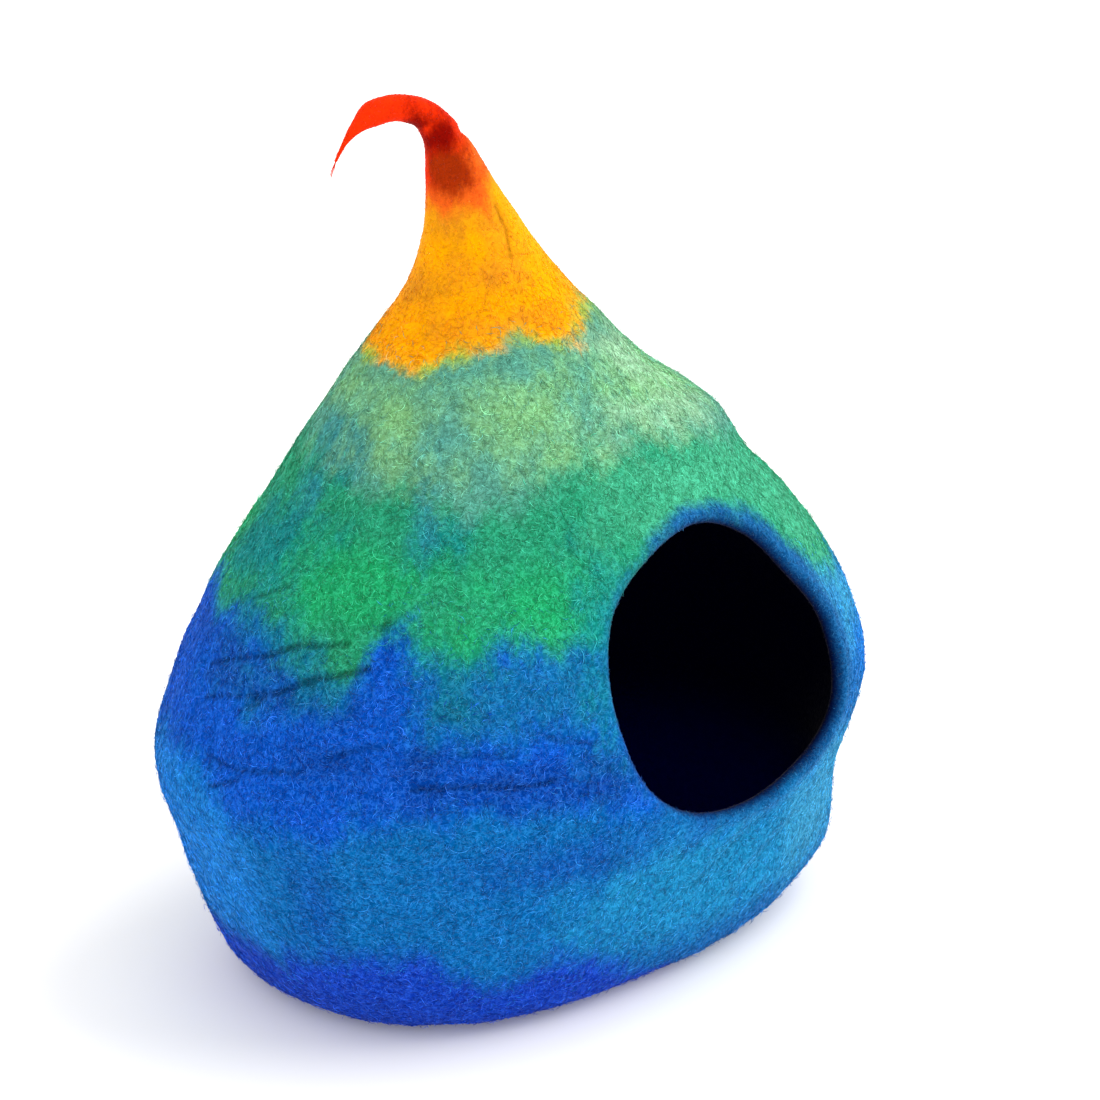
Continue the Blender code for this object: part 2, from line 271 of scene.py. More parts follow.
TROUGHS = (
    # depth, half breadth, route
    Fold(1.7, 9, ((169, 225), (183, 244), (191, 256), (205, 262))),
    Fold(1.7, 9, ((172, 208), (188, 227), (197, 241), (210, 251))),
    Fold(1.3, 9, ((179, 182), (186, 183), (200, 192), (213, 210))),
    Fold(1.8, 9, ((219, 190), (231, 188), (243, 184), (248, 186))),
    Fold(1.2, 9, ((220, 204), (229, 206), (239, 203), (250, 207))),
    Fold(-1.4, 10, ((233, 173), (244, 165))),
    Fold(1.2, 9, ((220, 290), (212, 274), (214, 244))),
    Fold(1.4, 9, ((272, 69), (277, 94), (282, 110))),
    Fold(1.4, 9, ((281, 65), (288, 81), (294, 90))),
    Fold(2.0, 4, ((300, 528), (340, 527), (380, 528))),  # where the tail was bent
)
CREASES = (
    # The cores of the wrinkles that climb from the left end.
    Fold(1.4, 2.8, ((170, 226), (183, 244), (191, 256), (203, 262))),
    Fold(1.6, 2.8, ((173, 209), (188, 227), (197, 241), (209, 251))),
    Fold(0.9, 2.6, ((181, 210), (186, 220))),
    Fold(1.1, 2.8, ((179, 182), (186, 183), (200, 192))),
    Fold(1.1, 2.6, ((181, 167), (187, 178))),
    Fold(0.7, 3.0, ((200, 269), (210, 272))),
    Fold(0.9, 3.0, ((176, 269), (183, 283))),
    # The short ones between the left end and the doorway.
    Fold(0.9, 3.4, ((204, 202), (211, 209), (216, 211))),
    Fold(0.7, 3.0, ((220, 203), (225, 207))),
    Fold(0.8, 3.4, ((224, 227), (235, 223))),
    Fold(1.2, 3.0, ((222, 188), (231, 188), (243, 183), (247, 185))),
    Fold(0.9, 3.2, ((229, 206), (239, 202))),
    Fold(0.9, 3.2, ((244, 210), (253, 201))),
    Fold(0.8, 3.0, ((251, 193), (255, 186))),
    Fold(0.8, 3.0, ((232, 178), (237, 176))),
    Fold(0.6, 3.0, ((213, 174), (219, 176))),
    # Upright ones, which follow the edges of tufts.
    Fold(0.7, 3.2, ((211, 275), (214, 242))),
    Fold(0.7, 3.2, ((222, 292), (211, 276))),
    Fold(0.7, 3.4, ((197, 239), (199, 219))),
    # The slanting ridges and troughs under the doorway.
    Fold(0.75, 4.6, ((269, 74), (272, 84), (278, 99), (284, 112))),
    Fold(0.6, 4.2, ((281, 72), (286, 82), (292, 90))),
    Fold(0.6, 4.0, ((265, 92), (269, 108), (273, 119))),
    Fold(0.5, 3.6, ((280, 118), (283, 127))),
    Fold(0.5, 3.6, ((260, 88), (262, 98))),
    Fold(-1.0, 4.0, ((266, 74), (271, 96), (277, 112))),
    Fold(-0.9, 4.0, ((276, 66), (281, 84), (288, 98))),
    Fold(0.6, 4.0, ((262, 100), (262, 123))),
    # The seam-like line down the tail.
    Fold(0.9, 2.4, ((281, 488), (279, 474), (270, 459))),
    Fold(0.6, 2.4, ((254, 462), (264, 460))),
)
ROUTE_SAMPLES = 25


def lumps_at(around, height):
    total = np.zeros(np.shape(around))
    for lump in LUMPS:
        turn = (np.degrees(around) - lump.around + 180) % 360 - 180
        rise = height - lump.height
        apart = (turn / lump.spread_around) ** 2 + (rise / lump.spread_height) ** 2
        total += lump.lift * np.exp(-apart)
    return total


def folds_at(points, folds):
    """The sum of the folds, each a bell in the distance from the nearest sample of its route."""
    total = np.zeros(points.shape[:-1])
    for fold in folds:
        angles, heights = np.transpose(fold.route)
        legs = np.linspace(0, len(fold.route) - 1, ROUTE_SAMPLES)
        around = np.interp(legs, range(len(fold.route)), np.radians(angles))
        along = along_at(np.interp(legs, range(len(fold.route)), heights))
        route = smooth_skin(around, along)
        margin = 3 * fold.half_breadth
        low, high = route.min(axis=0) - margin, route.max(axis=0) + margin
        near = np.all((points > low) & (points < high), axis=-1)
        apart = np.linalg.norm(points[near][:, None, :] - route, axis=-1).min(axis=-1)
        total[near] -= fold.depth * np.exp(-((apart / fold.half_breadth) ** 2))
    return total


print(len(LUMPS), "lumps,", len(TROUGHS), "troughs,", len(CREASES), "creases")

# %% [markdown]
# The fine unevenness is value noise: random numbers at the corners of a cubic lattice, blended smoothly
# between them. The generator has a seed, so each run gives the same felt.

# %% Fine unevenness
LATTICE = 64  # corners each way, after which the noise repeats


def soft_noise(points, size, seed):
    """Value noise from -1 to 1. A corner's share of its cell is a product of smooth steps."""
    corners = np.random.default_rng(seed).uniform(-1, 1, (LATTICE, LATTICE, LATTICE))
    cell = np.floor(points / size).astype(int)
    t = points / size - cell
    t = t * t * (3 - 2 * t)
    total = np.zeros(points.shape[:-1])
    for corner in np.ndindex(2, 2, 2):
        share = np.prod(np.where(corner, t, 1 - t), axis=-1)
        total += share * corners[tuple(np.moveaxis((cell + corner) % LATTICE, -1, 0))]
    return total


UNEVENNESS = ((0.9, 38.0), (0.5, 15.0), (0.22, 6.5))  # height and size of the waves, mm


def unevenness(points):
    """Slow waves that show in the outline, and the small dimples of rubbed wool."""
    return sum(lift * soft_noise(points, size, seed=3 + k) for k, (lift, size) in enumerate(UNEVENNESS))


SLIM = 12.0  # mm, the half width below which the tip gets smooth


def skin(around, along, inset=0.0, worked=True):
    """The hand-worked skin, or one that lies inset from it. The creases are in the outer face alone."""
    smooth = smooth_skin(around, along)
    settled = np.clip(smooth[..., 2] / STATIONS[1].height, 0, 1)  # the base stays flat
    slim = np.clip(station_at(along)[..., HALF_WIDTH] / SLIM, 0, 1)
    relief = lumps_at(around, smooth[..., 2])
    if worked:
        relief = relief + folds_at(smooth, TROUGHS) + folds_at(smooth, CREASES)
        relief = relief + slim * unevenness(smooth)
    return smooth + outward(around, along) * (relief * settled - inset)[..., None]


# %% [markdown]
# ## The doorway
#
# The doorway is a hand-cut round in the front wall. Seen from straight ahead, its edge is a distance from
# its middle that changes with the direction, a closed cubic through twelve reaches. Its rim is rubbed
# thicker than the wall.

# %% The doorway's edge
WALL = 7.0
LIP = 11.0
LIP_PROUD = 2.0
DOOR_MIDDLE = (41.0, 216.0)
DOOR_REACH = (101, 82, 83, 88, 91, 100, 98, 95, 91, 91, 99, 114)  # every 30 degrees from the right
FAR_FROM_DOORWAY = 200.0


def door_reach(direction):
    """A cubic through the twelve reaches, round the circle."""
    reach = np.array(DOOR_REACH, float)
    place = direction / (2 * math.pi) % 1.0 * len(reach)
    first = np.floor(place).astype(int)
    t = place - first
    before, start, end, after = (reach[(first + k) % len(reach)] for k in (-1, 0, 1, 2))
    return (
        start
        + t * (end - before) / 2
        + t**2 * (2 * before - 5 * start + 4 * end - after) / 2
        + t**3 * (3 * start - 3 * end + after - before) / 2
    )


def front_place(x, height):
    """The coordinates of the front wall's point that is seen at (x, height) from straight ahead."""
    along = along_at(height)
    lean, _, _, half_width, _, squareness = np.moveaxis(station_at(along), -1, 0)
    share = (x - lean * math.cos(math.radians(LEAN_HEADING))) / half_width
    return 2 * math.pi - np.arccos(signed_power(share, squareness / 2)), along


def from_doorway(points):
    """How far points of the front wall lie outside the clear opening, and in which direction from its
    middle, seen from straight ahead."""
    across, up = points[..., 0] - DOOR_MIDDLE[0], points[..., 2] - DOOR_MIDDLE[1]
    direction = np.arctan2(up, across)
    beyond = np.hypot(across, up) - door_reach(direction)
    return np.where(points[..., 1] < 0, beyond, FAR_FROM_DOORWAY), direction


def door_edge(around, along):
    """The coordinates of the skin's edge at the doorway, in the directions of the given places from its
    middle, half the lip's thickness outside the clear opening."""
    seen = smooth_skin(around, along)
    direction = np.arctan2(seen[:, 2] - DOOR_MIDDLE[1], seen[:, 0] - DOOR_MIDDLE[0])
    reach = door_reach(direction) + LIP / 2
    return front_place(
        DOOR_MIDDLE[0] + reach * np.cos(direction), DOOR_MIDDLE[1] + reach * np.sin(direction)
    )


def inset_near_lip(inset, share):
    """The felt grows from the wall's thickness to the lip's over the collar, on both faces."""
    if inset > 0:
        return inset + (LIP - LIP_PROUD - WALL) * share**3
    return -LIP_PROUD * share**3


print("doorway:", DOOR_REACH[0] + DOOR_REACH[6], "x", DOOR_REACH[3] + DOOR_REACH[9], "mm")

# %% [markdown]
# ## The felt as one closed mesh
#
# Most of the skin is a plain grid of angles and distances. Its lines stand closer where the creases are.
# A block of the grid is left out round the doorway, and a collar of rings fills the gap between the
# block's border and the round edge. The inner skin uses every second line of the same grid, since the
# dark inside needs less. The mesh is gathered in a small class that keeps lists of vertex arrays and face
# arrays, and hands out indices.

# %% A sheaf of grids


class Sheaf:
    """Vertices with their two coordinates, and faces, gathered from several grids."""

    def __init__(self):
        self.points, self.places, self.faces, self.count = [], [], [], 0

    def add(self, points, around, along, depth_inside):
        """Adds a grid of points and returns the array of their indices."""
        shape = points.shape[:-1]
        place = np.stack([np.broadcast_to(x, shape) for x in (around, along, depth_inside)], axis=-1)
        self.points.append(points.reshape(-1, 3))
        self.places.append(place.reshape(-1, 3))
        index = np.arange(points[..., 0].size).reshape(shape) + self.count
        self.count += index.size
        return index

    def quads(self, rows, keep=None, flip=False):
        """Joins each row of indices to the next one, round the circle."""
        here, above = rows[:-1], rows[1:]
        corners = np.stack([here, np.roll(here, -1, axis=1), np.roll(above, -1, axis=1), above], axis=-1)
        corners = corners[keep] if keep is not None else corners.reshape(-1, 4)
        self.faces.append(corners[:, ::-1] if flip else corners)

    def zip(self, fine, coarse):
        """Joins a row to one with half as many points: three triangles for each coarse edge."""
        start, middle, end = fine[::2], fine[1::2], np.roll(fine[::2], -1)
        after = np.roll(coarse, -1)
        triangles = np.concatenate(
            [
                np.stack([coarse, start, middle], axis=-1),
                np.stack([coarse, middle, after], axis=-1),
                np.stack([after, middle, end], axis=-1),
            ]
        )
        self.faces.append(triangles)

    def fan(self, row, pole, flip=False):
        """Closes a row with a fan of triangles to one point."""
        corners = np.stack([row, np.roll(row, -1), np.full(len(row), pole)], axis=-1)
        self.faces.append(corners[:, ::-1] if flip else corners)


# %% [markdown]
# The spacing of the grid lines is set by spans: from one value to the next in so many steps. All step
# counts are even, so that every second line of the outer skin is there for the inner one.

# %% The lines of the grid
CAVITY_TOP = 455.0
CAVITY_DOME = 8.0
TIP_ROUNDING = 0.8
TAIL_START = 470.0
COLLAR_AROUND = (240.0, 320.0)
COLLAR_HEIGHT = (98.0, 332.0)
CREASED_HEIGHT = (155.0, 290.0)
COLLAR_RINGS = 8
LIP_STEPS = 12
BASE_RINGS = 6


def spaced(spans):
    """Values from span to span. Each span is (start, end, steps)."""
    parts = [np.linspace(start, end, steps + 1)[1:] for start, end, steps in spans]
    return np.concatenate([[spans[0][0]], *parts])


TURNS = np.radians(spaced(((0, 164, 128), (164, 240, 104), (240, 320, 84), (320, 360, 32)))[:-1])
DOOR_LOW, DOOR_HIGH = along_at(np.array(COLLAR_HEIGHT))
CREASED_LOW, CREASED_HIGH, TAIL_LOW = along_at(np.array([*CREASED_HEIGHT, TAIL_START]))
BODY_PLACES = spaced(
    (
        (0.0, DOOR_LOW, 34),
        (DOOR_LOW, CREASED_LOW, 16),
        (CREASED_LOW, CREASED_HIGH, 58),
        (CREASED_HIGH, DOOR_HIGH, 14),
        (DOOR_HIGH, TAIL_LOW, 46),
    )
)
TAIL_PLACES = spaced(((TAIL_LOW, PROFILE_LENGTH, 64),))
print(len(TURNS), "columns,", len(BODY_PLACES), "+", len(TAIL_PLACES) - 1, "rows")

# %% Build the two skins, the collars and the lip


def block_border(rows, columns):
    """The grid places round a block, from its lower left corner, anticlockwise as seen from outside."""
    (low_row, high_row), (left, right) = rows, columns
    return np.array(
        [(low_row, column) for column in range(left, right)]
        + [(row, right) for row in range(low_row, high_row)]
        + [(high_row, column) for column in range(right, left, -1)]
        + [(row, left) for row in range(high_row, low_row, -1)]
    )


def felt_skin(sheaf, turns, places, inset, shares, flip):
    """One skin and its base. Returns its top row, the collar's last row and the edge's coordinates."""
    around, along = np.meshgrid(turns, places)
    inside = FAR_FROM_DOORWAY if flip else 0.0
    index = sheaf.add(skin(around, along, inset, worked=not flip), around, along, inside)
    rows = [int(np.abs(places - place).argmin()) for place in (DOOR_LOW, DOOR_HIGH)]
    columns = [int(np.abs(turns - math.radians(angle)).argmin()) for angle in COLLAR_AROUND]
    keep = np.ones((len(places) - 1, len(turns)), bool)
    keep[rows[0] : rows[1], columns[0] : columns[1]] = False
    sheaf.quads(index, keep, flip)

    border = block_border(rows, columns)
    border_around, border_along = turns[border[:, 1]], places[border[:, 0]]
    edge_around, edge_along = door_edge(border_around, border_along)
    share = shares[:, None]
    collar_around = border_around + (edge_around - border_around) * share
    collar_along = border_along + (edge_along - border_along) * share
    collar_points = skin(collar_around, collar_along, inset_near_lip(inset, share), worked=not flip)
    depth_inside = from_doorway(collar_points)[0] + LIP if flip else 0.0
    collar = sheaf.add(collar_points, collar_around, collar_along, depth_inside)
    sheaf.quads(np.vstack([index[border[:, 0], border[:, 1]], collar]), flip=flip)

    foot = sheaf.points[-2][: len(turns)]  # the first row of the grid
    middle = foot.mean(axis=0)
    steps = np.linspace(1, 0, BASE_RINGS + 1)[1:-1, None, None]
    base = sheaf.add(middle + (foot - middle) * steps, turns, np.zeros((BASE_RINGS - 1, 1)), inside)
    pole = sheaf.add(middle[None], 0.0, 0.0, inside)[0]
    sheaf.quads(np.vstack([index[0], base]), flip=not flip)
    sheaf.fan(base[-1], pole, flip=not flip)
    return index[-1], collar[-1], (edge_around, edge_along)


def rolled_lip(sheaf, outer_row, edge_place):
    """A half circle from the outer skin's edge to the inner one's: middle + arm cos + (a vector into
    the doorway, as long as the arm) sin. Returns its last row."""
    outer = skin(*edge_place, inset_near_lip(0.0, 1.0))
    inner = skin(*edge_place, inset_near_lip(WALL, 1.0), worked=False)
    middle, arm = (outer + inner) / 2, (outer - inner) / 2
    into_door = np.cross(arm, np.roll(middle, -1, axis=0) - np.roll(middle, 1, axis=0))
    arm_length, length = (np.linalg.norm(x, axis=1, keepdims=True) for x in (arm, into_door))
    into_door *= arm_length / length
    turn = np.linspace(0, math.pi, LIP_STEPS + 1)[1:, None, None]
    points = middle + arm * np.cos(turn) + into_door * np.sin(turn)
    rows = sheaf.add(points, *edge_place, LIP * turn[..., 0] / math.pi)
    sheaf.quads(np.vstack([outer_row, rows]))
    return rows[-1]


sheaf = Sheaf()
shares = np.linspace(0, 1, COLLAR_RINGS + 1)[1:]
top_row, outer_edge, edge_place = felt_skin(sheaf, TURNS, BODY_PLACES, 0.0, shares, flip=False)

# The tail goes on with half as many columns.
tail_around, tail_along = np.meshgrid(TURNS[::2], TAIL_PLACES[1:])
tail = sheaf.add(skin(tail_around, tail_along), tail_around, tail_along, 0.0)
sheaf.zip(top_row, tail[0])
sheaf.quads(tail)
lean, height = station_at(np.array([PROFILE_LENGTH - TIP_ROUNDING, PROFILE_LENGTH]))[:, [LEAN, HEIGHT]].T
heading = math.radians(LEAN_HEADING)
tips = np.stack([lean * math.cos(heading), lean * math.sin(heading), height], axis=1)
sheaf.fan(tail[-1], sheaf.add((2 * tips[1] - tips[0])[None], 0.0, PROFILE_LENGTH, 0.0)[0])

# The inner skin ends in a low dome under the neck.
inner_places = BODY_PLACES[::2][BODY_PLACES[::2] <= along_at(CAVITY_TOP)]
inner_turns, top = TURNS[::2], inner_places[-1]
dome_row, inner_collar, _ = felt_skin(
    sheaf, inner_turns, inner_places, WALL, shares[1::2][:-1], flip=True
)
dome = smooth_skin(inner_turns, np.full(len(inner_turns), top)).mean(axis=0) + (0, 0, CAVITY_DOME)
sheaf.fan(dome_row, sheaf.add(dome[None], 0.0, top, FAR_FROM_DOORWAY)[0], flip=True)
sheaf.zip(rolled_lip(sheaf, outer_edge, edge_place), inner_collar)

points = (np.concatenate(sheaf.points) + FOOT_PLACE) * MM
places = np.concatenate(sheaf.places)
print(len(points), "points,", sum(len(part) * (part.shape[1] - 2) for part in sheaf.faces), "triangles")

# %% [markdown]
# ## Where the dyed wool lies
#
# The maker lays tufts of different colours in rows, from the foot up, and each row overlaps the one under
# it. So the colours are layers in a painter's order. For each layer every vertex stores one number: how
# many millimetres it lies inside the layer, below zero outside. The material adds noise to that number
# before it cuts at zero, which makes the ragged, fibrous border that no vertex colour could show.
#
# A layer's edge is a route of angles and heights, read off the photograph for the side that it shows. On
# the side that it doesn't show, the edge wanders between the same heights. A single tuft is a soft
# rectangle.

# %% Edges and tufts
SEEN = (150.0, 350.0)  # angles that the photograph shows
HIDDEN_STEP = 5.0
HIDDEN_GAPS = (8.0, 4.0)  # degrees without a height, after the side that is seen and before it
USUAL = (0.1, 0.95)  # the shares of an edge's heights that count as its lowest and highest usual ones
SMOOTHING = (0.25, 0.5, 0.25)


def edge_at(degrees, route, seed):
    """Heights of an edge at angles: its route where it is seen. Where it isn't, seeded heights between
    its usual lowest and highest ones, each then a weighted mean of three neighbours."""
    angles, heights = np.transpose(np.array(route, float))
    rng = np.random.default_rng(seed)
    hidden = np.arange(SEEN[1] + HIDDEN_GAPS[0], SEEN[0] + 360 - HIDDEN_GAPS[1], HIDDEN_STEP)
    low_edge, high_edge = np.quantile(heights, USUAL)
    steps = np.convolve(rng.uniform(low_edge, high_edge, len(hidden) + 2), SMOOTHING, mode="valid")
    angles = np.concatenate([angles, hidden])
    heights = np.concatenate([heights, steps])
    return np.interp(degrees, angles % 360, heights, period=360)


def above(route, seed):
    """How far each vertex lies above an edge, along the profile."""
    return places[:, 1] - along_at(edge_at(np.degrees(places[:, 0]), route, seed))


def tufts(*rows):
    """How far each vertex lies inside the nearest of some tufts. A row is a tuft's angle, height, half
    width and half height. The depth is 1 minus the fourth root of the sum of the fourth powers of the
    two offsets, each over its half size, times the smaller half size."""
    radius = station_at(places[:, 1])[:, [HALF_WIDTH, HALF_DEPTH]].mean(axis=1)
    best = np.full(len(places), -FAR_FROM_DOORWAY)
    for around, height, half_width, half_height in rows:
        turn = (places[:, 0] - math.radians(around) + math.pi) % (2 * math.pi) - math.pi
        across = turn * radius / half_width
        up = (places[:, 1] - along_at(height)) / half_height
        depth = (1 - (across**4 + up**4) ** 0.25) * min(half_width, half_height)
        best = np.maximum(best, depth)
    return best


# %% The edges of the rows of wool
FOOT_TOP = (
    (150, 46), (172, 50), (180, 55), (188, 52), (196, 60), (206, 66), (215, 68), (226, 70), (230, 52),
    (236, 46), (243, 44), (246, 58), (252, 54), (258, 42), (264, 26), (270, 14), (280, 4), (310, 0),
    (335, 0),
)  # fmt: skip
BLUE_LOW = (
    (150, 175), (168, 178), (176, 172), (184, 160), (192, 152), (197, 152), (201, 154), (206, 154),
    (208, 156), (212, 164), (220, 170), (232, 172), (243, 174), (252, 163), (258, 152), (264, 152),
    (268, 215), (296, 240), (306, 262), (312, 250), (322, 244), (335, 240),
)  # fmt: skip
GREEN_LOW = (
    (150, 268), (160, 259), (166, 257), (176, 263), (180, 262), (185, 254), (190, 243), (195, 236),
    (203, 236), (206, 246), (209, 262), (211, 275), (214, 279), (218, 272), (221, 260), (226, 257),
    (233, 259), (235, 267), (238, 262), (248, 260), (251, 264), (256, 269), (262, 275), (270, 279),
    (282, 280), (298, 274), (306, 258), (312, 246), (322, 238), (335, 234),
)  # fmt: skip
SEAFOAM_LOW = (
    (150, 350), (164, 352), (170, 350), (186, 352), (189, 339), (196, 337), (205, 343), (212, 342),
    (219, 332), (226, 328), (232, 334), (240, 337), (250, 342), (259, 350), (266, 353), (272, 355),
    (280, 356), (290, 354), (300, 344), (312, 334), (335, 332),
)  # fmt: skip
ORANGE_LOW = (
    (150, 404), (160, 403), (170, 402), (180, 403), (190, 401), (200, 400), (206, 402), (212, 410),
    (222, 411), (236, 414), (243, 416), (250, 420), (258, 419), (266, 412), (276, 411), (284, 412),
    (292, 416), (300, 421), (315, 426), (335, 424),
)  # fmt: skip
EMBER_LOW = (
    (150, 494), (170, 496), (200, 492), (214, 490), (232, 491), (250, 489), (262, 484), (272, 488),
    (285, 497), (335, 504),
)  # fmt: skip
RED_LOW = (
    (150, 500), (170, 504), (200, 508), (214, 510), (232, 514), (250, 518), (268, 521), (285, 523),
    (305, 524), (335, 524),
)  # fmt: skip


# %% [markdown]
# Each layer has a dye, and says how ragged its border is and how softly it ends. A few light tufts on the
# lit sides are partly painted light, and the thin dark ones along the creases partly painted shade. The
# first layer covers everything.

# %% The layers, in painter's order


class Layer(NamedTuple):
    name: str
    colour: tuple  # the dye as a display's red, green and blue, 0 to 255
    ragged: float  # mm that the noise moves the border
    soft: float  # mm over which the border fades
    depth: np.ndarray


smooth = smooth_skin(places[:, 0], places[:, 1])
beside_doorway, door_direction = from_doorway(smooth)
RIM_BREADTH = (13, 13, 11, 10, 7, 4, 3, 3, 4, 6, 7, 10)  # mm, every 30 degrees from the right
rim_breadth = np.interp(np.degrees(door_direction), 30 * np.arange(12), RIM_BREADTH, period=360)
EVERYWHERE = np.full(len(places), FAR_FROM_DOORWAY)
UNDERLAP = 8.0  # mm that the royal blue goes on under the green
YELLOW_BORDER = 3.0
blue_depth = above(BLUE_LOW, seed=12)
green_depth = above(GREEN_LOW, seed=13)
orange_depth = above(ORANGE_LOW, seed=15)
LAYERS = (
    Layer("teal_blue", (0, 105, 179), 0, 1, EVERYWHERE),
    # Partly dye, partly painted light: the tufts at the lit left end and on the right flank.
    Layer("light_blue", (18, 124, 209), 26, 18, tufts(
        (172, 120, 60, 62), (324, 208, 52, 50), (18, 112, 100, 54),
    )),
    Layer("sky_blue", (20, 134, 188), 26, 22, tufts((285, 80, 110, 42))),
    # Partly dye, partly painted light: the tufts on the right flank, which the sun lights.
    Layer("pale_blue", (54, 152, 196), 26, 24, tufts(
        (306, 96, 48, 48), (318, 224, 40, 30), (2, 104, 24, 22),
    )),
    Layer("dark_tuft", (0, 84, 174), 18, 15, tufts(
        (203, 105, 13, 34), (212, 62, 30, 12), (248, 128, 46, 14),
    )),
    Layer("ultramarine", (12, 62, 190), 20, 15, -above(FOOT_TOP, seed=11)),
    Layer("royal_blue", (0, 83, 198), 24, 17, np.minimum(blue_depth, UNDERLAP - green_depth)),
    Layer("mid_blue", (8, 108, 169), 24, 18, tufts(
        (183, 230, 26, 12), (255, 183, 14, 13), (243, 236, 60, 26), (62, 196, 70, 24),
        (122, 222, 46, 16),
    )),
    # Partly dye, partly painted shade: the thin dark tufts on the seen side follow the creases.
    Layer("dark_blue", (0, 64, 164), 14, 12, tufts(
        (236, 186, 56, 7), (252, 176, 30, 8), (208, 197, 28, 5), (222, 201, 14, 8), (184, 240, 34, 4),
        (190, 226, 38, 4), (96, 186, 64, 6), (30, 224, 50, 7),
    )),
    Layer("green", (36, 153, 109), 20, 15, green_depth),
    Layer("sea_green", (12, 134, 132), 22, 16, tufts(
        (170, 296, 42, 26), (189, 293, 7, 16), (221, 318, 12, 12), (104, 264, 60, 16),
        (20, 262, 40, 20), (255, 268, 12, 36),
    )),
    Layer("teal_tuft", (8, 114, 150), 20, 15, tufts(
        (226, 240, 18, 24), (199, 238, 16, 10), (182, 256, 18, 8), (194, 250, 12, 8), (72, 246, 44, 10),
    )),
    Layer("bright_green", (28, 168, 102), 24, 18, tufts(
        (201, 290, 40, 24), (242, 280, 26, 18), (228, 268, 16, 10), (84, 292, 60, 18),
        (132, 282, 30, 14),
    )),
    Layer("leaf_green", (66, 172, 128), 24, 20, tufts(
        (288, 324, 62, 26), (314, 290, 36, 44), (60, 310, 70, 24),
    )),
    Layer("seafoam", (92, 162, 140), 22, 18, above(SEAFOAM_LOW, seed=14)),
    Layer("slate", (36, 132, 144), 20, 15, tufts(
        (179, 353, 24, 18), (174, 331, 12, 10), (213, 340, 5, 14), (96, 350, 26, 12),
    )),
    Layer("teal_green", (86, 160, 141), 22, 18, tufts(
        (222, 398, 24, 7), (274, 396, 30, 9), (284, 378, 26, 14), (238, 346, 14, 12),
    )),
    Layer("lime", (128, 188, 124), 24, 20, tufts(
        (198, 374, 22, 20), (199, 355, 24, 7), (244, 376, 32, 24), (250, 356, 20, 8),
        (165, 382, 22, 12), (312, 378, 60, 30), (326, 424, 30, 16), (20, 372, 40, 18),
        (78, 362, 46, 14), (122, 376, 34, 20),
    )),
    # Partly dye, partly painted light: the pale tufts on the sunlit right shoulder.
    Layer("pale_green", (150, 196, 156), 22, 20, tufts((301, 362, 30, 12), (312, 392, 26, 18))),
    Layer("yellow_green", (158, 190, 72), 15, 8, orange_depth + YELLOW_BORDER),
    Layer("orange", (255, 170, 0), 15, 8, orange_depth),
    Layer("mixed_orange", (228, 144, 26), 18, 14, tufts(
        (250, 452, 20, 9), (238, 424, 20, 5), (178, 444, 11, 14), (262, 480, 7, 14), (100, 440, 30, 12),
        (200, 484, 12, 9),
    )),
    Layer("ember", (240, 98, 26), 11, 9, above(EMBER_LOW, seed=17)),
    Layer("red", (252, 52, 8), 9, 9, above(RED_LOW, seed=16)),
    Layer("maroon", (164, 46, 6), 18, 9, tufts((226, 514, 13, 12))),
    Layer("kink_red", (140, 10, 2), 12, 7, tufts((210, 534, 13, 8), (196, 545, 10, 6))),
    Layer("rim_blue", (12, 88, 148), 6, 6, rim_breadth - beside_doorway),
)  # fmt: skip
print("layers:", ", ".join(layer.name for layer in LAYERS))

# %% [markdown]
# Two more numbers help the material: how far inside the cave a vertex lies, where the wool turns navy
# and painted shade darkens it, and how deep it lies in a crease, where the nap is thin, light doesn't
# reach, and painted shade darkens the wool.

# %% Make the felt's mesh


def add_mesh(name, points, faces, attributes):
    """A mesh object from points, face arrays and a number for each vertex in each attribute."""
    mesh = bpy.data.meshes.new(name)
    mesh.from_pydata(points, [], [face for part in faces for face in part.tolist()])
    for attribute, values in attributes.items():
        layer = mesh.attributes.new(attribute, "FLOAT", "POINT")
        layer.data.foreach_set("value", values.astype(np.float32))
    mesh.shade_smooth()
    made = bpy.data.objects.new(name, mesh)
    bpy.context.scene.collection.objects.link(made)
    return made


attributes = {layer.name: layer.depth for layer in LAYERS[1:]}
attributes["depth_inside"] = places[:, 2]
# How deep each vertex lies in a crease, for the painted shade that the material puts there.
attributes["crease"] = np.where(places[:, 2] < LIP, np.maximum(-folds_at(smooth, CREASES), 0.0), 0.0)
felt = add_mesh("felt_shell", points, sheaf.faces, attributes)
print("felt_shell:", len(felt.data.polygons), "faces")
